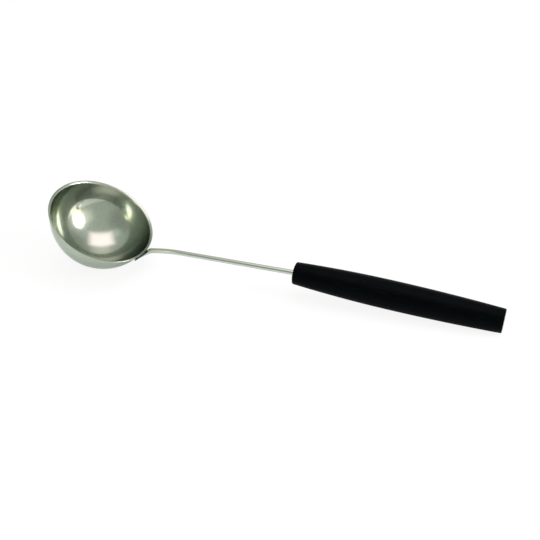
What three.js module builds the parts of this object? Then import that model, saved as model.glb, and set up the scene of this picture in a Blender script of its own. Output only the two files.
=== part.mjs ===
import * as THREE from 'three';

// Sauna ladle: a pressed steel bowl, a steel rod whose end is flattened into a fan-shaped foot and
// spot-welded under the bowl's lip, and a turned, black-lacquered handle glued on the rod's tang.
// Millimetres. Every piece is drawn with the bowl's axis upright and its rim plane at z = 0, and the
// stem leaves towards +x. The whole ladle is then laid down as it lies on a table: on its bowl and
// on the lower edge of the handle's rear end.

// Bowl: a spherical pressing with a narrow flared lip.
const RIM_DIAMETER = 107;
const SHEET = 1;
const SPHERE_RADIUS = 52.5; // outside of the wall
const SPHERE_RISE = 6.5; // the sphere's centre above the rim plane
const LIP_ANGLE = 30; // rise of the lip over the rim plane
const LIP_ROOT = 0.8; // radius of the bend under the lip

// Stem: one drawn rod, from its foot on the bowl to its tang in the handle.
const ROD_DIAMETER = 5;
const KNEE_REACH = 4.6; // where the round rod ends, outside the rim's edge
const KNEE_RISE = 1.3; // and above the rim plane
const KNEE_PULL = 2; // length of the knee's end tangents
const ROOT_ANGLE = 40.2; // rise of the rod over the rim plane beside the bowl
const STEM_ANGLE = 29.1; // rise of its straight stretch
const STEM_BEND = 170; // bend radius between the two
const STEM_STRAIGHT = 113.75;
const HANDLE_ANGLE = 25.2; // rise of the handle
const ENTRY_BEND = 45; // bend radius just ahead of the handle
const ENTRY_STRAIGHT = 0.5;
const TANG_LENGTH = 72;

// Foot: the rod's end, pressed flat and wrapped on the bowl's wall.
const FOOT_WIDTH = 17.5;
const FOOT_THICKNESS = 1.7;
const FOOT_LOW = 16; // depth of its lower edge below the rim plane
const FOOT_HIGH = 12.4; // depth where it leaves the wall
const FOOT_CORNER = 2;
const FOOT_FLARE = 1.2; // how quickly it widens, as a power
const FOOT_SQUARENESS = 6; // exponent of its flat section; 2 is round
const FOOT_GAP = 0.5; // between foot and wall, bridged by the spot welds

// Spot welds between foot and wall.
const NUGGET_DIAMETER = 3;
const NUGGET_SPACING = 9;
const NUGGET_GAP = 0.1;

// Handle: a turned barrel with flat ends and a blind bore for the tang.
const HANDLE_LENGTH = 197;
const HANDLE_FRONT = 21.4; // diameters
const HANDLE_BELLY = 27.7;
const HANDLE_REAR = 22.6;
const BELLY_AT = 93; // distance of the largest diameter from the front end
const HANDLE_EDGE = 0.8; // rounding of both ends
const BORE_DIAMETER = 6.6;
const BORE_REST = 2; // bore left free past the tang

// Adhesive: the sleeve of set epoxy between tang and bore.
const GLUE_GAP = 0.15;
const GLUE_START = 1.5; // set back from the handle's front

// Facets.
const BOWL_SIDES = 72;
const BOWL_STEPS = 14;
const LIP_STEPS = 4;
const EDGE_STEPS = 6;
const ROD_SIDES = 24;
const KNEE_STEPS = 12;
const FOOT_STEPS = 6;
const BEND_STEPS = 10;
const ENTRY_STEPS = 4;
const HANDLE_SIDES = 48;
const BARREL_STEPS = 10;
const NUGGET_SIDES = 24;
const NUGGET_STEPS = 3;

const UP = new THREE.Vector3(0, 0, 1);
const rad = THREE.MathUtils.degToRad;
const rimRadius = RIM_DIAMETER / 2;
const rodRadius = ROD_DIAMETER / 2;
const footRadius = SPHERE_RADIUS + FOOT_GAP + FOOT_THICKNESS / 2;
const steel = { color: 0xb9bdb6, metalness: 1 };

function arc(cx, cy, radius, from, to, steps) {
  const points = [];
  for (let i = 0; i <= steps; i += 1) {
    const a = from + ((to - from) * i) / steps;
    points.push(new THREE.Vector2(cx + radius * Math.cos(a), cy + radius * Math.sin(a)));
  }
  return points;
}

// A solid turned about z from a profile of (radius, z) that runs with the material on its left. It is
// turned by half a facet, so that the ladle lies on a flat and not on the ridge between two facets.
function turned(profile, sides) {
  const geometry = new THREE.LatheGeometry(profile, sides, Math.PI / sides);
  geometry.rotateX(Math.PI / 2);
  return geometry;
}

function piece(name, geometry, material) {
  const mesh = new THREE.Mesh(geometry, new THREE.MeshStandardMaterial(material));
  mesh.name = name;
  return mesh;
}

// The centre of the lip's bend: under the lip and outside the wall, as far from both as its radius.
function lipRoot(edge) {
  const along = heading(LIP_ANGLE);
  const across = heading(LIP_ANGLE - 90);
  const start = edge.clone().addScaledVector(across, SHEET / 2 + LIP_ROOT);
  const arm = start.clone().sub(new THREE.Vector2(0, SPHERE_RISE));
  const run = arm.dot(along);
  const back = run - Math.sqrt(run ** 2 - arm.lengthSq() + (SPHERE_RADIUS + LIP_ROOT) ** 2);
  return start.addScaledVector(along, -back);
}

// Outer wall up to the bend under the lip, round the lip's edge, then the bend and the inner wall.
function bowl() {
  const edge = new THREE.Vector2(rimRadius - SHEET / 2, -SHEET / 2);
  const root = lipRoot(edge);
  const rootAngle = Math.atan2(root.y - SPHERE_RISE, root.x);
  const bottom = -Math.PI / 2;
  const lipTop = rad(LIP_ANGLE) + Math.PI / 2;
  const lipUnder = rad(LIP_ANGLE) - Math.PI / 2;
  const wall = rootAngle + Math.PI;
  const profile = [
    ...arc(0, SPHERE_RISE, SPHERE_RADIUS, bottom, rootAngle, BOWL_STEPS),
    ...arc(root.x, root.y, LIP_ROOT, wall, lipTop, LIP_STEPS).slice(1),
    ...arc(edge.x, edge.y, SHEET / 2, lipUnder, lipTop, EDGE_STEPS),
    ...arc(root.x, root.y, LIP_ROOT + SHEET, lipTop, wall, LIP_STEPS),
    ...arc(0, SPHERE_RISE, SPHERE_RADIUS - SHEET, rootAngle, bottom, BOWL_STEPS).slice(1),
  ];
  profile[0].x = 0;
  profile[profile.length - 1].x = 0;
  return piece('bowl', turned(profile, BOWL_SIDES), { ...steel, roughness: 0.12 });
}

function heading(degrees) {
  return new THREE.Vector2(Math.cos(rad(degrees)), Math.sin(rad(degrees)));
}

// An arc that starts at a point and turns clockwise from one heading to another.
function bend(start, radius, from, to) {
  const cx = start.x + radius * Math.sin(rad(from));
  const cy = start.y - radius * Math.cos(rad(from));
  const quarter = Math.PI / 2;
  return new THREE.EllipseCurve(cx, cy, radius, radius, rad(from) + quarter, rad(to) + quarter, true);
}

function line(start, degrees, length) {
  return new THREE.LineCurve(start, start.clone().addScaledVector(heading(degrees), length));
}

// The rod's centre line in the ladle's mirror plane, as (x, z) curves from the foot to the tang's end.
function stemCurves() {
  const low = -Math.asin((SPHERE_RISE + FOOT_LOW) / footRadius);
  const high = -Math.asin((SPHERE_RISE + FOOT_HIGH) / footRadius);
  const foot = new THREE.EllipseCurve(0, SPHERE_RISE, footRadius, footRadius, low, high, false);
  const leave = foot.getPoint(1);
  const join = new THREE.Vector2(rimRadius + KNEE_REACH, KNEE_RISE);
  const pull = leave.clone().addScaledVector(foot.getTangent(1), KNEE_PULL);
  const push = join.clone().addScaledVector(heading(ROOT_ANGLE), -KNEE_PULL);
  const knee = new THREE.CubicBezierCurve(leave, pull, push, join);
  const sweep = bend(join, STEM_BEND, ROOT_ANGLE, STEM_ANGLE);
  const straight = line(sweep.getPoint(1), STEM_ANGLE, STEM_STRAIGHT);
  const entry = bend(straight.getPoint(1), ENTRY_BEND, STEM_ANGLE, HANDLE_ANGLE);
  const tang = line(entry.getPoint(1), HANDLE_ANGLE, ENTRY_STRAIGHT + TANG_LENGTH);
  return { foot, knee, sweep, straight, entry, tang };
}

// Half width of the flattened end, a distance up from its lower edge, with that edge's corners rounded.
function footHalfWidth(distance, flattened) {
  const rest = Math.max(0, 1 - distance / flattened);
  const cut = Math.max(0, FOOT_CORNER - distance);
  const corner = FOOT_CORNER - Math.sqrt(FOOT_CORNER ** 2 - cut ** 2);
  return rodRadius + (FOOT_WIDTH / 2 - rodRadius) * rest ** FOOT_FLARE - corner;
}

// A closed ring of points round one section; it bends with the bowl's wall where wrap is above zero.
function ring(centre, tangent, width, thickness, squareness, wrap) {
  const side = new THREE.Vector3(0, 1, 0);
  const out = new THREE.Vector3(tangent.y, 0, -tangent.x);
  const points = [];
  for (let i = 0; i < ROD_SIDES; i += 1) {
    const a = (2 * Math.PI * i) / ROD_SIDES;
    const share = Math.cos(a);
    const across = width * share;
    const full = Math.max(0, 1 - Math.abs(share) ** squareness) ** (1 / squareness);
    const depth = thickness * Math.sign(Math.sin(a)) * full;
    const turn = across * wrap;
    const lateral = wrap > 0 ? Math.sin(turn) * (1 / wrap + depth) : across;
    const drop = wrap > 0 ? (1 - Math.cos(turn)) * (1 / wrap + depth) : 0;
    const point = new THREE.Vector3(centre.x, 0, centre.y);
    point.addScaledVector(out, depth - drop);
    point.addScaledVector(side, lateral);
    points.push(point);
  }
  return points;
}

function sample(curve, steps, first) {
  const samples = [];
  for (let i = first; i <= steps; i += 1) {
    samples.push({ at: curve.getPoint(i / steps), along: curve.getTangent(i / steps) });
  }
  return samples;
}

function footRings(curves) {
  const foot = sample(curves.foot, FOOT_STEPS, 0);
  const knee = sample(curves.knee, KNEE_STEPS, 1);
  const footLength = curves.foot.getLength();
  const kneeLength = curves.knee.getLength();
  const flattened = footLength + kneeLength;
  const flatFoot = foot.map(({ at, along }, i) => {
    const width = footHalfWidth((footLength * i) / FOOT_STEPS, flattened);
    return ring(at, along, width, FOOT_THICKNESS / 2, FOOT_SQUARENESS, 1 / footRadius);
  });
  const kneeRings = knee.map(({ at, along }, i) => {
    const share = (i + 1) / KNEE_STEPS;
    const width = footHalfWidth(footLength + kneeLength * share, flattened);
    const round = THREE.MathUtils.smootherstep(share, 0, 1);
    const thickness = THREE.MathUtils.lerp(FOOT_THICKNESS / 2, rodRadius, round);
    const squareness = THREE.MathUtils.lerp(FOOT_SQUARENESS, 2, Math.min(1, 2 * share));
    return ring(at, along, width, thickness, squareness, (1 - round) / footRadius);
  });
  return [...flatFoot, ...kneeRings];
}

// Skins a row of rings and closes it with a fan of triangles at each end.
function loft(rings) {
  const sides = rings[0].length;
  const points = rings.flat();
  const index = [];
  for (let i = 0; i < rings.length - 1; i += 1) {
    for (let k = 0; k < sides; k += 1) {
      const a = i * sides + k;
      const b = i * sides + ((k + 1) % sides);
      index.push(a, a + sides, b, b, a + sides, b + sides);
    }
  }
  const last = (rings.length - 1) * sides;
  for (let k = 1; k < sides - 1; k += 1) {
    index.push(0, k, k + 1);
    index.push(last, last + k + 1, last + k);
  }
  const geometry = new THREE.BufferGeometry().setFromPoints(points);
  geometry.setIndex(index);
  geometry.computeVertexNormals();
  return geometry;
}

function stem(curves) {
  const round = [
    ...sample(curves.sweep, BEND_STEPS, 1),
    ...sample(curves.straight, 1, 1),
    ...sample(curves.entry, ENTRY_STEPS, 1),
    ...sample(curves.tang, 1, 1),
  ];
  const rings = [
    ...footRings(curves),
    ...round.map(({ at, along }) => ring(at, along, rodRadius, rodRadius, 2, 0)),
  ];
  return piece('stem', loft(rings), { ...steel, roughness: 0.2 });
}

// A lens of weld metal between the bowl's wall and the foot, seen from the sphere's centre.
function spotWeld(name, offset, curves) {
  const near = SPHERE_RADIUS + NUGGET_GAP;
  const far = SPHERE_RADIUS + FOOT_GAP - NUGGET_GAP;
  const reach = NUGGET_DIAMETER / 2 / SPHERE_RADIUS;
  const top = Math.PI / 2;
  const profile = [
    ...arc(0, 0, near, top, top - reach, NUGGET_STEPS),
    ...arc(0, 0, far, top - reach, top, NUGGET_STEPS),
  ];
  profile[0].x = 0;
  profile[profile.length - 1].x = 0;
  const mesh = piece(name, turned(profile, NUGGET_SIDES), { color: 0x8c8f8a, metalness: 1, roughness: 0.45 });
  const middle = curves.foot.getPoint(1 / 2);
  const towards = new THREE.Vector3(middle.x, 0, middle.y - SPHERE_RISE).normalize();
  const turn = offset / footRadius;
  towards.multiplyScalar(Math.cos(turn)).y = Math.sin(turn);
  mesh.quaternion.setFromUnitVectors(UP, towards);
  mesh.position.set(0, 0, SPHERE_RISE);
  return mesh;
}

// One side of the barrel: an arc that is tangent to the axis' direction at the belly.
function barrelSide(endDiameter, endZ, from, to) {
  const drop = (HANDLE_BELLY - endDiameter) / 2;
  const run = endZ - BELLY_AT;
  const radius = (run ** 2 + drop ** 2) / (2 * drop);
  const centre = HANDLE_BELLY / 2 - radius;
  const first = Math.asin((from - BELLY_AT) / radius);
  const last = Math.asin((to - BELLY_AT) / radius);
  return arc(centre, BELLY_AT, radius, first, last, BARREL_STEPS);
}

function handle() {
  const boreRadius = BORE_DIAMETER / 2;
  const boreDepth = TANG_LENGTH + BORE_REST;
  const front = HANDLE_FRONT / 2 - HANDLE_EDGE;
  const rear = HANDLE_REAR / 2 - HANDLE_EDGE;
  const quarter = Math.PI / 2;
  const rearEdge = HANDLE_LENGTH - HANDLE_EDGE;
  const profile = [
    new THREE.Vector2(0, boreDepth),
    new THREE.Vector2(boreRadius, boreDepth),
    new THREE.Vector2(boreRadius, 0),
    ...arc(front, HANDLE_EDGE, HANDLE_EDGE, -quarter, 0, LIP_STEPS),
    ...barrelSide(HANDLE_FRONT, 0, 2 * HANDLE_EDGE, BELLY_AT),
    ...barrelSide(HANDLE_REAR, HANDLE_LENGTH, BELLY_AT, rearEdge - HANDLE_EDGE).slice(1),
    ...arc(rear, rearEdge, HANDLE_EDGE, 0, quarter, LIP_STEPS),
    new THREE.Vector2(0, HANDLE_LENGTH),
  ];
  return piece('handle', turned(profile, HANDLE_SIDES), { color: 0x16181a, metalness: 0, roughness: 0.42 });
}

function adhesive() {
  const inner = rodRadius + GLUE_GAP;
  const outer = BORE_DIAMETER / 2 - GLUE_GAP;
  const profile = [
    new THREE.Vector2(inner, GLUE_START),
    new THREE.Vector2(outer, GLUE_START),
    new THREE.Vector2(outer, TANG_LENGTH),
    new THREE.Vector2(inner, TANG_LENGTH),
    new THREE.Vector2(inner, GLUE_START),
  ];
  return piece('tang_adhesive', turned(profile, HANDLE_SIDES), { color: 0x9a8f6a, metalness: 0, roughness: 0.6 });
}

// The handle's own frame: its front face at the tang's root, its length along z.
function grip(curves) {
  const group = new THREE.Group();
  const root = curves.tang.getPoint(ENTRY_STRAIGHT / (ENTRY_STRAIGHT + TANG_LENGTH));
  group.position.set(root.x, 0, root.y);
  group.rotation.y = Math.PI / 2 - rad(HANDLE_ANGLE);
  group.add(handle(), adhesive());
  return group;
}

// The angle of the table under the ladle: it touches the bowl's sphere and the rear end's rounded edge.
function tableAngle(curves) {
  const root = curves.tang.getPoint(ENTRY_STRAIGHT / (ENTRY_STRAIGHT + TANG_LENGTH));
  const edge = root.addScaledVector(heading(HANDLE_ANGLE), HANDLE_LENGTH - HANDLE_EDGE);
  edge.addScaledVector(heading(HANDLE_ANGLE - 90), HANDLE_REAR / 2 - HANDLE_EDGE);
  const reach = edge.sub(new THREE.Vector2(0, SPHERE_RISE));
  return reach.angle() + Math.asin((SPHERE_RADIUS - HANDLE_EDGE) / reach.length());
}

function ladle() {
  const curves = stemCurves();
  const upright = new THREE.Group();
  upright.add(
    bowl(),
    stem(curves),
    spotWeld('spot_weld_left', NUGGET_SPACING / 2, curves),
    spotWeld('spot_weld_right', -NUGGET_SPACING / 2, curves),
    grip(curves),
  );
  upright.rotation.y = tableAngle(curves);
  const lying = new THREE.Group();
  lying.add(upright);
  const box = new THREE.Box3().setFromObject(lying, true);
  const centre = box.getCenter(new THREE.Vector3());
  upright.position.set(-centre.x, -centre.y, -box.min.z);
  lying.name = 'sauna_ladle';
  return lying;
}

export default ladle();
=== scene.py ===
# %% [markdown]
# # A sauna ladle
# The ladle has three main parts: a bowl pressed from stainless sheet, a steel rod whose end is
# flattened into a foot on the bowl's wall, and a turned handle under black lacquer. The solids made
# in CAD are loaded first. They fix every place and size, and each visible piece is then modelled
# again with smooth surfaces, because polished steel shows every facet.

# %% Load the solids
from math import asin, atan2, cos, degrees, pi, radians, sin, sqrt

import bmesh
import bpy
from mathutils import Matrix, Vector


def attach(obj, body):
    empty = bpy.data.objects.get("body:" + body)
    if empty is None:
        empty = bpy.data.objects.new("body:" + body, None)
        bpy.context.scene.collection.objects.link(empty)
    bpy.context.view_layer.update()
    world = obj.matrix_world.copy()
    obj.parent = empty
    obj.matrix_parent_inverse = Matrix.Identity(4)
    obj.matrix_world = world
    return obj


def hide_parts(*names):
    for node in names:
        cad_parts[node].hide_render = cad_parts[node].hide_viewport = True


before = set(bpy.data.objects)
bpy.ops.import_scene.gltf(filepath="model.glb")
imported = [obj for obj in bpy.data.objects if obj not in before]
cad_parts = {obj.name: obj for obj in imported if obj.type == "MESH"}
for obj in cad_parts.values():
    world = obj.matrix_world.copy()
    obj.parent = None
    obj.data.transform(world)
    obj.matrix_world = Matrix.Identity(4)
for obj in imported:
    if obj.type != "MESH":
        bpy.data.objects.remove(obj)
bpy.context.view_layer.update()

# %% [markdown]
# ## Drawing with compass and ruler
# A turned or pressed shape starts as one vertex. Spinning a vertex about a point draws an arc, and
# extruding it draws a straight line, so a profile is drawn the way a compass and a ruler would draw
# it. Spinning the whole profile about its axis then gives the solid. Points are given as (x, z) in
# millimetres in the plane of the profile, and angles in degrees.

# %% Draw profiles with spin and extrude
MM = 0.001
SAME_POINT = 0.002
SLIVER = 0.001


def flat(point):
    return Vector((point[0] * MM, 0, point[1] * MM))


def sweep_arc(bm, vert, centre, angle, steps):
    made = bmesh.ops.spin(
        bm, geom=[vert], cent=flat(centre), axis=(0, -1, 0), angle=radians(angle), steps=steps,
        use_duplicate=False,
    )
    return [item for item in made["geom_last"] if isinstance(item, bmesh.types.BMVert)][0]


def line_to(bm, vert, point):
    made = bmesh.ops.extrude_vert_indiv(bm, verts=[vert])
    made["verts"][0].co = flat(point)
    return made["verts"][0]


def revolve(bm, steps):
    bmesh.ops.spin(
        bm, geom=bm.verts[:] + bm.edges[:], cent=(0, 0, 0), axis=(0, 0, 1), angle=2 * pi,
        steps=steps, use_merge=True, use_duplicate=False,
    )
    # The profile's ends lie on the axis, so their copies are merged into one pole each.
    bmesh.ops.remove_doubles(bm, verts=bm.verts[:], dist=SAME_POINT * MM)
    bmesh.ops.dissolve_degenerate(bm, edges=bm.edges[:], dist=SLIVER * MM)
    bmesh.ops.recalc_face_normals(bm, faces=bm.faces[:])


print("points closer than", SAME_POINT, "mm are merged")

# %% [markdown]
# ## From mesh to piece
# A finished mesh is moved to its place before it becomes an object, so the object itself stays at the
# origin, unturned and unscaled, as the CAD solids do.

# %% Make a piece
def make_piece(name, bm, place, material, node):
    bmesh.ops.transform(bm, matrix=place, verts=bm.verts[:])
    for face in bm.faces:
        face.smooth = True
    mesh = bpy.data.meshes.new(name)
    bm.to_mesh(mesh)
    bm.free()
    piece = bpy.data.objects.new(name, mesh)
    bpy.context.scene.collection.objects.link(piece)
    mesh.materials.append(material)
    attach(piece, "root")
    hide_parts(node)
    print(name, "faces", len(mesh.polygons), "in place of", node)


# %% [markdown]
# ## Helpers for materials
# Colours are written as sRGB hex values, the way a colour picker shows them, and one function turns
# them into the linear values that a shader works with. A second function adds a node, fills in its
# settings and links its inputs, which keeps each material short enough to read.

# %% Colours and nodes
# A Mix node keeps its colour sockets behind those for plain numbers, under the same names.
COLOUR_A, COLOUR_B, MIXED = 6, 7, 2


def linear(hex_colour):
    channels = [int(hex_colour[i:i + 2], 16) / 255 for i in (1, 3, 5)]
    curve = [c / 12.92 if c <= 0.04045 else ((c + 0.055) / 1.055) ** 2.4 for c in channels]
    return (*curve, 1)


def fill(tree, node, inputs):
    for key, value in inputs.items():
        if isinstance(value, bpy.types.NodeSocket):
            tree.links.new(value, node.inputs[key])
        else:
            node.inputs[key].default_value = value


def add(tree, kind, inputs=None, **settings):
    node = tree.nodes.new(kind)
    for key, value in settings.items():
        setattr(node, key, value)
    fill(tree, node, inputs or {})
    return node


def new_material(name):
    material = bpy.data.materials.new(name)
    material.use_nodes = True
    print("material", name)
    return material, material.node_tree, material.node_tree.nodes["Principled BSDF"]


# %% [markdown]
# ## Where the ladle lies
# Every piece is drawn with the bowl upright and its rim in the plane z = 0, as a workshop drawing
# would show it. The bowl is less than half a sphere, so the sphere's centre lies above the rim. The
# ladle lies on a table, on its bowl and on the handle's rear edge, and that tips the bowl towards the
# handle. One matrix takes the drawing to the table.

# %% The lying ladle
SPHERE_RADIUS = 52.5
SPHERE_RISE = 6.5
TABLE_ANGLE = 28.8265
SPHERE_CENTRE = Vector((-171.629, 0, 52.501)) * MM

lying = (
    Matrix.Translation(SPHERE_CENTRE)
    @ Matrix.Rotation(radians(TABLE_ANGLE), 4, "Y")
    @ Matrix.Translation((0, 0, -SPHERE_RISE * MM))
)
print("bowl's lowest point", (SPHERE_CENTRE.z - SPHERE_RADIUS * MM) / MM, "mm over the table")

# %% [markdown]
# ## Camera
# The photograph looks down at the table from the handle's side, with a moderate telephoto view: the
# handle's rear end is seen exactly edge-on, and that fixes the distance. The camera is aimed at a
# point on the table and rolled by a few degrees.

# %% Camera
CAMERA_AT = Vector((0.27932, -0.70247, 0.58065))
LOOKS_AT = Vector((-0.00934, 0.02758, 0))
LENS = 65.711
SENSOR = 36
NEAREST = 0.01
ROLL = -3.159

camera_data = bpy.data.cameras.new("camera")
camera_data.lens = LENS
camera_data.sensor_width = SENSOR
camera_data.clip_start = NEAREST
camera = bpy.data.objects.new("camera", camera_data)
bpy.context.scene.collection.objects.link(camera)
aim = (LOOKS_AT - CAMERA_AT).to_track_quat("-Z", "Y").to_matrix().to_4x4()
camera.matrix_world = Matrix.Translation(CAMERA_AT) @ aim @ Matrix.Rotation(radians(ROLL), 4, "Z")
bpy.context.scene.camera = camera
print("camera", (LOOKS_AT - CAMERA_AT).length, "m from its aim")

# %% [markdown]
# ## Heat tint and painted shade
# Welding heats steel until a grey-brown film grows on it, darkest at the weld. The same darkening also
# paints shade: the gap between the foot and the bowl's wall under the lip, and the shadowed table that
# the bowl's outer wall mirrors near the foot, so it fades only a few centimetres away. Both steels of the
# ladle carry it. It could be painted by hand, but its shape is simple: the distance from the foot's
# middle, between the two welds, mixes the darker colour into the clean one.

# %% Heat tint and painted shade round the welds
WELD_POINT = (49.7, -14.2)
weld_at = lying @ flat(WELD_POINT)


# Darker near the welds: partly heat tint, and partly painted shade round the foot.
def heat_tint_and_painted_shade(tree, clean, darker, near, far):
    spot = add(tree, "ShaderNodeTexCoord").outputs["Object"]
    away = add(tree, "ShaderNodeVectorMath", {0: spot, 1: weld_at}, operation="DISTANCE")
    cool = add(
        tree, "ShaderNodeMapRange",
        {"Value": away.outputs["Value"], "From Min": near * MM, "From Max": far * MM},
        interpolation_type="SMOOTHSTEP",
    )
    tinted = add(
        tree, "ShaderNodeMix",
        {"Factor": cool.outputs["Result"], COLOUR_A: linear(darker), COLOUR_B: clean},
        data_type="RGBA",
    )
    return tinted.outputs[MIXED]


print("heat tint is centred on", list(weld_at))

# %% [markdown]
# ## Stainless steel of the bowl: its gloss
# The sheet was pressed and then buffed on a turning wheel to a soft mirror, and use adds scratches
# that haze the mirror in specks. A noise picks the specks, and they are rougher than the rest. It
# reads Object coordinates that are turned so that z runs along the bowl's axis, because the buffing
# went round that axis.

# %% Haze from scratches
# Scratches are under 0.1 mm wide, too fine for the render, so their specks are drawn coarser.
SCRATCH = 0.25
SCRATCHED_FROM, SCRATCHED_TO = 0.47, 0.7
BUFFED_ROUGHNESS, SCRATCHED_ROUGHNESS = 0.07, 0.46


def bowl_axis_coordinates(tree):
    spot = add(tree, "ShaderNodeTexCoord").outputs["Object"]
    turned = add(
        tree, "ShaderNodeMapping",
        {"Vector": spot, "Location": SPHERE_CENTRE, "Rotation": (0, radians(TABLE_ANGLE), 0)},
        vector_type="TEXTURE",
    )
    return turned.outputs["Vector"]


def scratched_roughness(tree, place):
    scratches = add(
        tree, "ShaderNodeTexNoise", {"Vector": place, "Scale": 1 / (SCRATCH * MM), "Detail": 1.0}
    )
    roughness = add(
        tree, "ShaderNodeMapRange",
        {"Value": scratches.outputs["Fac"], "From Min": SCRATCHED_FROM, "From Max": SCRATCHED_TO,
         "To Min": BUFFED_ROUGHNESS, "To Max": SCRATCHED_ROUGHNESS},
    )
    return roughness.outputs["Result"]


print("scratches are drawn", SCRATCH, "mm wide")

# %% [markdown]
# ## Stainless steel of the bowl: its relief
# Pressing leaves shallow dents, which make the edges of reflections waver, and buffing leaves very
# fine rings round the bowl's axis. Both are too shallow for geometry, so they are bumps. The dents
# are a noise in all three directions, and the rings are a noise that reads only the height along the
# axis.

# %% Dents and buffing rings
DENT = 12
DENT_DEPTH = 0.05
# Buffing lines are under 0.1 mm apart, too fine for the render, so the rings are drawn coarser.
BUFF_RING = 0.6
RING_DEPTH = 0.02
RING_STRENGTH = 0.05


def dented_normal(tree, place):
    dents = add(
        tree, "ShaderNodeTexNoise", {"Vector": place, "Scale": 1 / (DENT * MM), "Detail": 0.0}
    )
    wavy = add(
        tree, "ShaderNodeBump",
        {"Height": dents.outputs["Fac"], "Strength": 1.0, "Distance": DENT_DEPTH * MM},
    )
    height = add(tree, "ShaderNodeSeparateXYZ", {"Vector": place}).outputs["Z"]
    level = add(tree, "ShaderNodeCombineXYZ", {"Z": height})
    rings = add(
        tree, "ShaderNodeTexNoise",
        {"Vector": level.outputs["Vector"], "Scale": 1 / (BUFF_RING * MM), "Detail": 3.0},
    )
    ringed = add(
        tree, "ShaderNodeBump",
        {"Height": rings.outputs["Fac"], "Strength": RING_STRENGTH, "Distance": RING_DEPTH * MM,
         "Normal": wavy.outputs["Normal"]},
    )
    return ringed.outputs["Normal"]


print("dents are", DENT, "mm wide and rings", BUFF_RING, "mm")

# %% [markdown]
# ## Stainless steel of the bowl: its colour
# Bare steel is a mirror with a slightly greenish grey of its own, a little cloudy where the buffing
# wheel pressed more or less. Seen at a grazing angle a metal turns nearly white, and here the edge
# tint keeps that a touch below white. Near the foot the thin sheet darkens on both sides: partly the
# heat tint of the welds, and partly painted shade of the shadowed table that the outer wall mirrors.

# %% Buffed stainless sheet
BOWL_COLOUR = "#a0a99b"
BOWL_SHADE = "#9ba497"
BOWL_CLOUD = 16.667
EDGE_TINT = "#f0f3ee"
# Darker round the welds: heat tint, and painted shade where the outer wall mirrors the shadowed table
# near the foot.
SHEET_TINT_AND_SHADE = "#6b736a"
SHEET_DARK_NEAR, SHEET_DARK_FAR = 8, 42


def buffed_stainless():
    # The eye sees a soft mirror: sharp reflections, each with a hazy glow round it.
    material, tree, shader = new_material("buffed_stainless_sheet")
    place = bowl_axis_coordinates(tree)
    cloud = add(
        tree, "ShaderNodeTexNoise", {"Vector": place, "Scale": 1 / (BOWL_CLOUD * MM), "Detail": 2.0}
    )
    clean = add(
        tree, "ShaderNodeMix",
        {"Factor": cloud.outputs["Fac"], COLOUR_A: linear(BOWL_COLOUR), COLOUR_B: linear(BOWL_SHADE)},
        data_type="RGBA",
    ).outputs[MIXED]
    fill(tree, shader, {
        "Base Color": heat_tint_and_painted_shade(tree, clean, SHEET_TINT_AND_SHADE, SHEET_DARK_NEAR, SHEET_DARK_FAR),
        "Roughness": scratched_roughness(tree, place),
        "Normal": dented_normal(tree, place),
        "Metallic": 1.0,
        "Specular Tint": linear(EDGE_TINT),
    })
    return material


bowl_steel = buffed_stainless()

# %% [markdown]
# ## Bowl
# One sheet, 1 mm thick, pressed into part of a sphere, with a narrow lip turned outwards at the rim.
# A sphere could be cut and thickened, but the lip's small bends matter in the highlights, so the
# wall's whole section is drawn: up the outside, round the lip, and down the inside. The lip's bend
# touches both the sphere and the straight lip, and that gives its centre, the lip's root.

# %% Bowl
RIM_RADIUS = 53.5
SHEET = 1
LIP_ANGLE = 30
LIP_BEND = 0.8
WALL_STEPS, OUTER_BEND_STEPS, EDGE_STEPS, INNER_BEND_STEPS = 48, 6, 12, 10
BOWL_ROUND = 192


def heading(angle):
    return Vector((cos(radians(angle)), sin(radians(angle))))


def lip_root(edge):
    along = heading(LIP_ANGLE)
    start = edge + heading(LIP_ANGLE - 90) * (SHEET / 2 + LIP_BEND)
    arm = start - Vector((0, SPHERE_RISE))
    run = arm.dot(along)
    back = run - sqrt(run**2 - arm.length_squared + (SPHERE_RADIUS + LIP_BEND) ** 2)
    return start - along * back


def bowl():
    bm = bmesh.new()
    sphere = (0, SPHERE_RISE)
    edge = Vector((RIM_RADIUS - SHEET / 2, -SHEET / 2))
    root = lip_root(edge)
    root_angle = degrees(atan2(root.y - SPHERE_RISE, root.x))
    lip_top = heading(LIP_ANGLE + 90)
    turn = LIP_ANGLE - 90 - root_angle
    vert = bm.verts.new(flat((0, SPHERE_RISE - SPHERE_RADIUS)))
    vert = sweep_arc(bm, vert, sphere, root_angle + 90, WALL_STEPS)
    vert = sweep_arc(bm, vert, root, turn, OUTER_BEND_STEPS)
    vert = line_to(bm, vert, edge - lip_top * (SHEET / 2))
    vert = sweep_arc(bm, vert, edge, 180, EDGE_STEPS)
    vert = line_to(bm, vert, root + lip_top * (LIP_BEND + SHEET))
    vert = sweep_arc(bm, vert, root, -turn, INNER_BEND_STEPS)
    sweep_arc(bm, vert, sphere, -root_angle - 90, WALL_STEPS)
    revolve(bm, BOWL_ROUND)
    make_piece("bowl_pressing", bm, lying, bowl_steel, "bowl")


bowl()

# %% [markdown]
# ## Steel of the stem
# Bright drawn rod: a die pulled it straight, so its fine lines run along it. A noise that is
# stretched along x draws them, because the rod lies close to x on the table. Near the welds the foot
# is darker than the bowl: partly heat tint, since the flattened foot is where the electrodes pressed,
# and partly painted shade of the gap between the foot and the bowl's wall under the lip.

# %% Drawn stainless rod
ROD_COLOUR = "#aab2a7"
# Darker on the foot: heat tint, and painted shade of the gap between the foot and the bowl's wall.
ROD_TINT_AND_SHADE = "#3e423a"
ROD_DARK_NEAR, ROD_DARK_FAR = 5, 15
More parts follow.
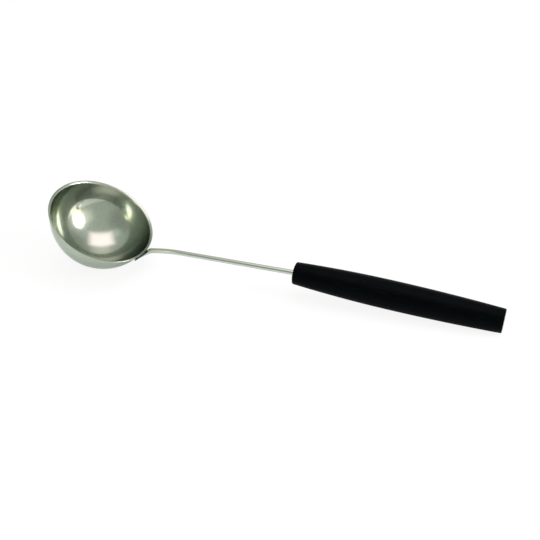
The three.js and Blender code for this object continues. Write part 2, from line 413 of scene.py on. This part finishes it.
# Drawing lines are under 0.1 mm wide and metres long: here they are wider, and 50 times as long as wide.
DRAW_LINE = 0.5
LINE_STRETCH = 50
LINE_DEPTH = 0.02
LINE_STRENGTH = 0.05
# Nearly all values of a noise lie between these two.
NOISE_LOW, NOISE_HIGH = 0.3, 0.7
ROD_SMOOTHEST, ROD_ROUGHEST = 0.08, 0.15


def drawn_stainless():
    # The eye sees a bright rod with long, even streaks of light and no specks.
    material, tree, shader = new_material("drawn_stainless_rod")
    spot = add(tree, "ShaderNodeTexCoord").outputs["Object"]
    along = add(tree, "ShaderNodeMapping", {"Vector": spot, "Scale": (1 / LINE_STRETCH, 1, 1)})
    lines = add(
        tree, "ShaderNodeTexNoise",
        {"Vector": along.outputs["Vector"], "Scale": 1 / (DRAW_LINE * MM), "Detail": 2.0},
    ).outputs["Fac"]
    roughness = add(
        tree, "ShaderNodeMapRange",
        {"Value": lines, "From Min": NOISE_LOW, "From Max": NOISE_HIGH,
         "To Min": ROD_SMOOTHEST, "To Max": ROD_ROUGHEST},
    )
    bump = add(
        tree, "ShaderNodeBump",
        {"Height": lines, "Strength": LINE_STRENGTH, "Distance": LINE_DEPTH * MM},
    )
    fill(tree, shader, {
        "Base Color": heat_tint_and_painted_shade(tree, linear(ROD_COLOUR), ROD_TINT_AND_SHADE, ROD_DARK_NEAR, ROD_DARK_FAR),
        "Roughness": roughness.outputs["Result"],
        "Normal": bump.outputs["Normal"],
        "Metallic": 1.0,
    })
    return material


rod_steel = drawn_stainless()

# %% [markdown]
# ## Stem: foot and knee
# A 5 mm rod. Its end was pressed flat into a fan, bent to the bowl's wall and spot-welded there. The
# centre line is made first, as a row of stations, each a point and the rod's direction there. On the
# foot the stations follow the sphere. The knee, where the foot leaves the wall, is a smooth curve
# that starts along the wall and ends along the rod.

# %% Stem: foot and knee
FOOT_THICKNESS = 1.7
FOOT_GAP = 0.5
FOOT_RADIUS = SPHERE_RADIUS + FOOT_GAP + FOOT_THICKNESS / 2
FOOT_LOW = 16
FOOT_HIGH = 12.4
FOOT_STEPS = 12
KNEE_REACH = 4.6
KNEE_RISE = 1.3
KNEE_PULL = 2
KNEE_STEPS = 30
ROOT_ANGLE = 40.2


def foot_stations(steps):
    low = degrees(asin((SPHERE_RISE + FOOT_LOW) / FOOT_RADIUS))
    high = degrees(asin((SPHERE_RISE + FOOT_HIGH) / FOOT_RADIUS))
    stations = []
    for i in range(steps + 1):
        below = low + (high - low) * i / steps
        point = heading(-below) * FOOT_RADIUS + Vector((0, SPHERE_RISE))
        stations.append((point, 90 - below))
    return stations


def knee_stations(start, start_angle, end, end_angle, steps):
    pull = start + heading(start_angle) * KNEE_PULL
    push = end - heading(end_angle) * KNEE_PULL
    stations = []
    for i in range(1, steps + 1):
        t = i / steps
        s = 1 - t
        point = start * s**3 + pull * (3 * s * s * t) + push * (3 * s * t * t) + end * t**3
        way = (pull - start) * (s * s) + (push - pull) * (2 * s * t) + (end - push) * (t * t)
        stations.append((point, degrees(atan2(way.y, way.x))))
    return stations


foot_line = foot_stations(FOOT_STEPS)
knee_end = Vector((RIM_RADIUS + KNEE_REACH, KNEE_RISE))
knee_line = knee_stations(*foot_line[-1], knee_end, ROOT_ANGLE, KNEE_STEPS)
print("foot and knee have", len(foot_line) + len(knee_line), "stations")

# %% [markdown]
# ## Stem: rod and tang
# From the knee the rod follows a long gentle bend, runs straight, bends slightly once more and goes
# into the handle, where its last part is the tang that the adhesive holds. A bend needs several
# stations, and a straight stretch only one at its end.

# %% Stem: rod and tang
STEM_BEND = 170
STEM_ANGLE = 29.1
STEM_STRAIGHT = 113.75
STEM_BEND_STEPS = 24
ENTRY_BEND = 45
HANDLE_ANGLE = 25.2
ENTRY_STRAIGHT = 0.5
ENTRY_BEND_STEPS = 6
TANG_LENGTH = 72


def bend_stations(start, radius, first, last, steps):
    stations = []
    for i in range(1, steps + 1):
        angle = first + (last - first) * i / steps
        across = sin(radians(first)) - sin(radians(angle))
        up = cos(radians(angle)) - cos(radians(first))
        stations.append((start + Vector((across, up)) * radius, angle))
    return stations


rod_line = bend_stations(knee_end, STEM_BEND, ROOT_ANGLE, STEM_ANGLE, STEM_BEND_STEPS)
straight_end = rod_line[-1][0] + heading(STEM_ANGLE) * STEM_STRAIGHT
rod_line.append((straight_end, STEM_ANGLE))
rod_line += bend_stations(straight_end, ENTRY_BEND, STEM_ANGLE, HANDLE_ANGLE, ENTRY_BEND_STEPS)
handle_root = rod_line[-1][0] + heading(HANDLE_ANGLE) * ENTRY_STRAIGHT
rod_line.append((handle_root + heading(HANDLE_ANGLE) * TANG_LENGTH, HANDLE_ANGLE))
print("handle starts at", list(handle_root), "mm from the rim's centre")

# %% [markdown]
# ## Stem: one section
# The rod's section is a circle, and the foot's is a rounded rectangle that is wrapped round the bowl.
# Both are one curve: with a power of 2 it is a circle, and with a higher power a rounded rectangle.
# Wrapping turns the distance across into an angle round the sphere.

# %% Stem: one section
ROD_SIDES = 48
ROUND = 2


def section(station, width, thickness, squareness, wrap):
    point, angle = station
    out = Vector((sin(radians(angle)), 0, -cos(radians(angle))))
    centre = Vector((point.x, 0, point.y))
    ring = []
    for i in range(ROD_SIDES):
        turn = 2 * pi * i / ROD_SIDES
        share = cos(turn)
        depth = max(0, 1 - abs(share) ** squareness) ** (1 / squareness) * thickness
        depth = depth if sin(turn) >= 0 else -depth
        across = width * share
        if wrap > 0:
            lateral = sin(across * wrap) * (1 / wrap + depth)
            drop = (1 - cos(across * wrap)) * (1 / wrap + depth)
        else:
            lateral, drop = across, 0
        ring.append((centre + out * (depth - drop) + Vector((0, lateral, 0))) * MM)
    return ring


print("each section has", ROD_SIDES, "points")

# %% [markdown]
# ## Stem: all sections
# The foot grows wider towards its lower edge and is much thinner than the rod, because pressing only
# moves the metal. Its lower corners are rounded. Along the knee the flat section becomes the round
# one: a smooth blend thickens it and lets go of the wrap.

# %% Stem: all sections
ROD_RADIUS = 2.5
FOOT_WIDTH = 17.5
FOOT_FLARE = 1.2
FOOT_CORNER = 2
FOOT_SQUARENESS = 6


def blend(share):
    return share**3 * (share * (share * 6 - 15) + 10)


def foot_sections():
    line = foot_line + knee_line
    distances = [0]
    for before, after in zip(line, line[1:]):
        distances.append(distances[-1] + (after[0] - before[0]).length)
    rings = []
    for i, station in enumerate(line):
        rest = max(0, 1 - distances[i] / distances[-1])
        cut = max(0, FOOT_CORNER - distances[i])
        corner = FOOT_CORNER - sqrt(FOOT_CORNER**2 - cut**2)
        width = ROD_RADIUS + (FOOT_WIDTH / 2 - ROD_RADIUS) * rest**FOOT_FLARE - corner
        share = max(0, i - len(foot_line) + 1) / len(knee_line)
        thickness = FOOT_THICKNESS / 2 + (ROD_RADIUS - FOOT_THICKNESS / 2) * blend(share)
        squareness = FOOT_SQUARENESS + (ROUND - FOOT_SQUARENESS) * min(1, 2 * share)
        wrap = (1 - blend(share)) / FOOT_RADIUS
        rings.append(section(station, width, thickness, squareness, wrap))
    return rings


stem_rings = foot_sections()
stem_rings += [section(station, ROD_RADIUS, ROD_RADIUS, ROUND, 0) for station in rod_line]
print("stem has", len(stem_rings), "sections")

# %% [markdown]
# ## Stem: skin
# A disc is the foot's end. Its ring of edges is extruded from section to section, as rod is drawn
# through a die, and each new ring takes the places of its section. The last ring is filled.

# %% Stem: skin
def ring_edges(bm, ring):
    return [bm.edges.get(pair) for pair in zip(ring, ring[1:] + ring[:1])]


def extrude_ring(bm, ring):
    made = bmesh.ops.extrude_edge_only(bm, edges=ring_edges(bm, ring))
    fresh = {item for item in made["geom"] if isinstance(item, bmesh.types.BMVert)}
    # One new edge joins each old vertex to its copy, and so gives the copies the old order.
    copies = {}
    for vert in ring:
        for edge in vert.link_edges:
            if edge.other_vert(vert) in fresh:
                copies[vert] = edge.other_vert(vert)
    return [copies[vert] for vert in ring]


def stem():
    bm = bmesh.new()
    disc = bmesh.ops.create_circle(bm, cap_ends=True, segments=ROD_SIDES, radius=ROD_RADIUS * MM)
    ring = disc["verts"]
    for vert, place in zip(ring, stem_rings[0]):
        vert.co = place
    for places in stem_rings[1:]:
        ring = extrude_ring(bm, ring)
        for vert, place in zip(ring, places):
            vert.co = place
    bmesh.ops.edgeloop_fill(bm, edges=ring_edges(bm, ring))
    bmesh.ops.recalc_face_normals(bm, faces=bm.faces[:])
    make_piece("stem_rod", bm, lying, rod_steel, "stem")


stem()

# %% [markdown]
# ## Black lacquer of the handle
# Turned hardwood under several coats of satin black lacquer. The lacquer hides the wood's colour but
# not all of its pores, which show as faint long hollows along the handle. The colour is not pure
# black: a little light comes back from the film, slightly cool, and more where it is thick in a pore.

# %% Satin black lacquer on turned wood
LACQUER = "#010304"
LACQUER_IN_PORES = "#060a0c"
# Pores are about 0.2 mm wide, too fine for the render: here they are wider, and 25 times as long as wide.
PORE_WIDTH = 0.8
PORE_STRETCH = 25
PORE_DEPTH = 0.05
PORE_STRENGTH = 0.1
PORE_MIDDLE, PORE_EDGE = 0.3, 0.5
LACQUER_CLOUD = 11.111
SATIN_SMOOTHEST, SATIN_ROUGHEST = 0.36, 0.44
LACQUER_IOR = 1.45
LACQUER_SHINE = 0.025


def black_lacquer():
    # The eye sees a deep black that only greys a little along its upper side, with no clear highlight.
    material, tree, shader = new_material("satin_black_lacquer_on_wood")
    spot = add(tree, "ShaderNodeTexCoord").outputs["Object"]
    along = add(tree, "ShaderNodeMapping", {"Vector": spot, "Scale": (1 / PORE_STRETCH, 1, 1)})
    pores = add(
        tree, "ShaderNodeTexNoise",
        {"Vector": along.outputs["Vector"], "Scale": 1 / (PORE_WIDTH * MM), "Detail": 3.0},
    ).outputs["Fac"]
    film = add(
        tree, "ShaderNodeMapRange",
        {"Value": pores, "From Min": PORE_MIDDLE, "From Max": PORE_EDGE},
    )
    colour = add(
        tree, "ShaderNodeMix",
        {"Factor": film.outputs["Result"],
         COLOUR_A: linear(LACQUER_IN_PORES), COLOUR_B: linear(LACQUER)},
        data_type="RGBA",
    )
    cloud = add(
        tree, "ShaderNodeTexNoise",
        {"Vector": spot, "Scale": 1 / (LACQUER_CLOUD * MM), "Detail": 3.0},
    )
    roughness = add(
        tree, "ShaderNodeMapRange",
        {"Value": cloud.outputs["Fac"], "From Min": NOISE_LOW, "From Max": NOISE_HIGH,
         "To Min": SATIN_SMOOTHEST, "To Max": SATIN_ROUGHEST},
    )
    bump = add(
        tree, "ShaderNodeBump",
        {"Height": pores, "Strength": PORE_STRENGTH, "Distance": PORE_DEPTH * MM},
    )
    fill(tree, shader, {
        "Base Color": colour.outputs[MIXED],
        "Roughness": roughness.outputs["Result"],
        "Normal": bump.outputs["Normal"],
        "IOR": LACQUER_IOR,
        "Specular IOR Level": LACQUER_SHINE,
    })
    return material


lacquer = black_lacquer()

# %% [markdown]
# ## Handle
# A barrel turned on a lathe: two long arcs that meet at the belly, flat ends with a small rounding,
# and a blind bore in the front for the rod's tang. Its section is drawn like the bowl's and spun. An
# arc that passes through an end and is level at the belly has only one possible radius.

# %% Handle
HANDLE_LENGTH = 197
HANDLE_FRONT = 21.4
HANDLE_BELLY = 27.7
HANDLE_REAR = 22.6
BELLY_AT = 93
HANDLE_EDGE = 0.8
BORE_RADIUS = 3.3
BORE_DEPTH = 74
BARREL_STEPS, ROUNDING_STEPS = 40, 8
HANDLE_ROUND = 96


def barrel_arc(end_diameter, end_z):
    drop = (HANDLE_BELLY - end_diameter) / 2
    run = end_z - BELLY_AT
    radius = (run**2 + drop**2) / (2 * drop)
    return HANDLE_BELLY / 2 - radius, radius


def handle():
    bm = bmesh.new()
    front = HANDLE_FRONT / 2 - HANDLE_EDGE
    rear = HANDLE_REAR / 2 - HANDLE_EDGE
    rear_edge = HANDLE_LENGTH - HANDLE_EDGE
    vert = bm.verts.new(flat((0, BORE_DEPTH)))
    vert = line_to(bm, vert, (BORE_RADIUS, BORE_DEPTH))
    vert = line_to(bm, vert, (BORE_RADIUS, 0))
    vert = line_to(bm, vert, (front, 0))
    vert = sweep_arc(bm, vert, (front, HANDLE_EDGE), 90, ROUNDING_STEPS)
    centre, radius = barrel_arc(HANDLE_FRONT, 0)
    start_z = 2 * HANDLE_EDGE
    start = asin((start_z - BELLY_AT) / radius)
    vert = line_to(bm, vert, (centre + radius * cos(start), start_z))
    vert = sweep_arc(bm, vert, (centre, BELLY_AT), -degrees(start), BARREL_STEPS)
    centre, radius = barrel_arc(HANDLE_REAR, HANDLE_LENGTH)
    end = asin((HANDLE_LENGTH - 2 * HANDLE_EDGE - BELLY_AT) / radius)
    vert = sweep_arc(bm, vert, (centre, BELLY_AT), degrees(end), BARREL_STEPS)
    vert = line_to(bm, vert, (HANDLE_REAR / 2, rear_edge))
    vert = sweep_arc(bm, vert, (rear, rear_edge), 90, ROUNDING_STEPS)
    line_to(bm, vert, (0, HANDLE_LENGTH))
    revolve(bm, HANDLE_ROUND)
    root = Matrix.Translation((handle_root.x * MM, 0, handle_root.y * MM))
    place = lying @ root @ Matrix.Rotation(radians(90 - HANDLE_ANGLE), 4, "Y")
    make_piece("handle_barrel", bm, place, lacquer, "handle")


handle()

# %% [markdown]
# ## Hidden pieces
# The spot welds and the adhesive keep their solids, whose shapes are right. Weld metal is dull and
# tinted by the heat, and set epoxy is a hazy amber. A grain in the weld and streaks in the epoxy are
# each one noise between two colours.

# %% Weld metal and epoxy
WELD_COLOURS = "#6f6a60", "#8a8c8a"
WELD_GRAIN = 1.1111
WELD_ROUGHNESS = 0.45
EPOXY_COLOURS = "#8a7a4c", "#a39566"
EPOXY_STREAK = 2.5
EPOXY_ROUGHNESS = 0.4


def mottled(name, colours, patch, roughness, metallic):
    # The eye would see a dull surface with soft patches, with no mirror image in it.
    material, tree, shader = new_material(name)
    spot = add(tree, "ShaderNodeTexCoord").outputs["Object"]
    patches = add(tree, "ShaderNodeTexNoise", {"Vector": spot, "Scale": 1 / (patch * MM)})
    colour = add(
        tree, "ShaderNodeMix",
        {"Factor": patches.outputs["Fac"],
         COLOUR_A: linear(colours[0]), COLOUR_B: linear(colours[1])},
        data_type="RGBA",
    )
    fill(tree, shader, {
        "Base Color": colour.outputs[MIXED], "Roughness": roughness, "Metallic": metallic,
    })
    return material


def dress(node, material):
    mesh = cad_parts[node].data
    mesh.materials.clear()
    mesh.materials.append(material)
    print(node, "wears", material.name)


weld = mottled("spot_weld_metal", WELD_COLOURS, WELD_GRAIN, WELD_ROUGHNESS, 1.0)
epoxy = mottled("set_epoxy", EPOXY_COLOURS, EPOXY_STREAK, EPOXY_ROUGHNESS, 0.0)
dress("spot_weld_left", weld)
dress("spot_weld_right", weld)
dress("tang_adhesive", epoxy)

# %% [markdown]
# ## Paint of the table
# A plain white table. To the camera it mostly glows, which makes it white, and the rest is lit paint,
# which keeps the ladle's soft shadow. In the steel's mirror it is nearly all lit paint, so the outer
# wall of the bowl darkens towards its own shadow, with a trace of sheen that mirrors the lamps.

# %% White table paint
TABLE_PAINT = "#eef4f7"
TABLE_PAINT_SEEN = "#606060"
TABLE_GLOW_SEEN = 0.875
TABLE_GLOW_MIRRORED = 0.26
TABLE_SHEEN = 0.06
TABLE_ROUGHNESS = 0.35


def white_table():
    material, tree, shader = new_material("white_table")
    path = add(tree, "ShaderNodeLightPath").outputs
    seen = path["Is Camera Ray"]
    mirrored = add(
        tree, "ShaderNodeMath", {0: path["Is Glossy Ray"], 1: TABLE_GLOW_MIRRORED},
        operation="MULTIPLY",
    )
    glow = add(
        tree, "ShaderNodeMath", {0: seen, 1: TABLE_GLOW_SEEN, 2: mirrored.outputs["Value"]},
        operation="MULTIPLY_ADD",
    )
    paint = add(
        tree, "ShaderNodeMix",
        {"Factor": seen, COLOUR_A: linear(TABLE_PAINT), COLOUR_B: linear(TABLE_PAINT_SEEN)},
        data_type="RGBA",
    )
    sheen = add(
        tree, "ShaderNodeMath", {0: seen, 1: -TABLE_SHEEN, 2: TABLE_SHEEN}, operation="MULTIPLY_ADD"
    )
    fill(tree, shader, {
        "Base Color": paint.outputs[MIXED],
        "Specular IOR Level": sheen.outputs["Value"],
        "Roughness": TABLE_ROUGHNESS,
        "Emission Color": (1, 1, 1, 1),
        "Emission Strength": glow.outputs["Value"],
    })
    return material


table_paint = white_table()

# %% [markdown]
# ## Table
# One flat face, so wide that no view shows its edge close by.

# %% Table
TABLE_SIZE = 8


def table():
    bm = bmesh.new()
    bmesh.ops.create_grid(bm, x_segments=1, y_segments=1, size=TABLE_SIZE / 2)
    mesh = bpy.data.meshes.new("table")
    bm.to_mesh(mesh)
    bm.free()
    mesh.materials.append(table_paint)
    floor = bpy.data.objects.new("table", mesh)
    bpy.context.scene.collection.objects.link(floor)
    print("table", TABLE_SIZE, "m wide")


table()

# %% [markdown]
# ## Room
# The bowl mirrors the whole room, and a mirror in an evenly white room looks like white paint. So the
# room is plain white only to the camera. As a light it is a little dimmer, with a touch of green, and
# has three wide corners that are dimmer still, each given by its direction, how far it reaches and
# how much light it leaves.

# %% Room
ROOM_LIGHT = 0.85
ROOM_COLOUR = "#fbfff8"
# Azimuth and elevation in degrees, the cosine at which a corner begins, and the light left in it.
CORNERS = [
    (-108, 38, 0.8, 0.67),
    (190, 5, 0.55, 0.4),
    (58, 26, 0.86, 0.66),
]


def way_to(azimuth, elevation):
    level = cos(radians(elevation))
    return Vector((
        level * cos(radians(azimuth)), level * sin(radians(azimuth)), sin(radians(elevation))
    ))


def room():
    world = bpy.data.worlds.new("room")
    bpy.context.scene.world = world
    world.use_nodes = True
    tree = world.node_tree
    way = add(tree, "ShaderNodeTexCoord").outputs["Generated"]
    light = ROOM_LIGHT
    for azimuth, elevation, reach, shade in CORNERS:
        facing = add(
            tree, "ShaderNodeVectorMath", {0: way, 1: way_to(azimuth, elevation)},
            operation="DOT_PRODUCT",
        )
        corner = add(
            tree, "ShaderNodeMapRange",
            {"Value": facing.outputs["Value"], "From Min": reach, "To Min": 1.0, "To Max": shade},
            interpolation_type="SMOOTHSTEP",
        )
        light = add(
            tree, "ShaderNodeMath", {0: light, 1: corner.outputs["Result"]}, operation="MULTIPLY"
        ).outputs["Value"]
    seen = add(tree, "ShaderNodeLightPath").outputs["Is Camera Ray"]
    white = add(tree, "ShaderNodeBackground", {"Color": (1, 1, 1, 1), "Strength": 1.0})
    lit = add(tree, "ShaderNodeBackground", {"Color": linear(ROOM_COLOUR), "Strength": light})
    mix = add(
        tree, "ShaderNodeMixShader",
        {0: seen, 1: lit.outputs["Background"], 2: white.outputs["Background"]},
    )
    fill(tree, tree.nodes["World Output"], {"Surface": mix.outputs["Shader"]})
    print("room with", len(CORNERS), "dim corners")


room()

# %% [markdown]
# ## A lamp's fade
# A softbox is bright in its middle and fades towards its edge, and the bowl shows that fade. An area
# lamp could stay even, but then its mirror image would have a hard rim. Here a node reads the place
# on the lamp, and the light fades from a core outwards: in rings on a round lamp, and in frames on a
# square one.

# %% Fade a lamp to its edge
LAMP_MIDDLE = (0.5, 0.5, 0)
LAMP_EDGE = 0.5


def fade_to_edge(data, core):
    data.use_nodes = True
    tree = data.node_tree
    place = add(tree, "ShaderNodeNewGeometry").outputs["Parametric"]
    offset = add(
        tree, "ShaderNodeVectorMath", {0: place, 1: LAMP_MIDDLE}, operation="SUBTRACT"
    ).outputs["Vector"]
    if data.shape == "ELLIPSE":
        away = add(tree, "ShaderNodeVectorMath", {0: offset}, operation="LENGTH")
    else:
        sides = add(tree, "ShaderNodeVectorMath", {0: offset}, operation="ABSOLUTE")
        parts = add(tree, "ShaderNodeSeparateXYZ", {"Vector": sides.outputs["Vector"]}).outputs
        away = add(tree, "ShaderNodeMath", {0: parts["X"], 1: parts["Y"]}, operation="MAXIMUM")
    fade = add(
        tree, "ShaderNodeMapRange",
        {"Value": away.outputs["Value"], "From Min": core * LAMP_EDGE, "From Max": LAMP_EDGE,
         "To Min": 1.0, "To Max": 0.0},
        interpolation_type="SMOOTHSTEP",
    )
    fill(tree, tree.nodes["Emission"], {"Strength": fade.outputs["Result"]})


print("a lamp ends", LAMP_EDGE, "of its size from its middle")

# %% [markdown]
# ## A soft lamp
# A lamp stands in a given direction from the bowl and faces it. Its brightness is given as radiance,
# so that its size can be changed without changing how bright its mirror image is: the lamp's power
# then grows with its area.

# %% A soft lamp
BOWL_POINT = Vector((-0.171, 0, 0.04))


def soft_lamp(name, way, distance, size, core, radiance, colour, shape="ELLIPSE", roll=0, on_table=1):
    data = bpy.data.lights.new(name, "AREA")
    data.shape = shape
    data.size, data.size_y = size
    area = size[0] * size[1] * (pi / 4 if shape == "ELLIPSE" else 1)
    data.energy = radiance * pi * area
    data.color = linear(colour)[:3]
    data.diffuse_factor = on_table
    fade_to_edge(data, core)
    lamp = bpy.data.objects.new(name, data)
    bpy.context.scene.collection.objects.link(lamp)
    outwards = way_to(*way)
    place = Matrix.Translation(BOWL_POINT + outwards * distance)
    facing = (-outwards).to_track_quat("-Z", "Y").to_matrix().to_4x4()
    lamp.matrix_world = place @ facing @ Matrix.Rotation(radians(roll), 4, "Z")
    print(name, "at", [round(value, 2) for value in lamp.matrix_world.translation])


# %% [markdown]
# ## The lamps
# A strong softbox beyond the handle's end and a large one overhead give the bowl's two big
# highlights. A low warm lamp and a pale yellow window to the left give the yellow ones, and three
# faint glows soften the dark between them. Each lamp is given by its direction from the bowl as
# azimuth and elevation, its distance and size in metres, and the share of it that stays fully
# bright. Most light the matt table less than they light the steel, or it would be too bright.

# %% Set up the lamps
soft_lamp("side_softbox", way=(6.5, 17), distance=1.6, size=(0.98, 1.06), core=0.4,
          radiance=13, colour="#ffeff8", roll=-36, on_table=0.08)
soft_lamp("side_glow", way=(-14, 20), distance=1.7, size=(1.7, 1.4), core=0.1,
          radiance=0.7, colour="#fff8f0", on_table=0.3)
soft_lamp("warm_lamp", way=(4, 3), distance=1.55, size=(1.0, 0.5), core=0.2,
          radiance=4.8, colour="#ffe288", on_table=0.05)
soft_lamp("left_window", way=(-122, 25), distance=1.8, size=(0.64, 0.64), core=0.25,
          radiance=3.6, colour="#fffad2", on_table=0.4)
soft_lamp("overhead_softbox", way=(28, 77.5), distance=1.5, size=(1.3, 1.8), core=0.42,
          radiance=2.45, colour="#ffe0f0", shape="RECTANGLE", roll=6, on_table=0.5)
soft_lamp("sky_glow", way=(-118, 66), distance=1.7, size=(0.95, 0.95), core=0.1,
          radiance=0.5, colour="#e4f2ff", on_table=0.5)
soft_lamp("overhead_glow", way=(100, 58), distance=1.6, size=(1.3, 1.3), core=0.2,
          radiance=0.55, colour="#ffd8d8")
bpy.context.scene.view_settings.view_transform = "Standard"
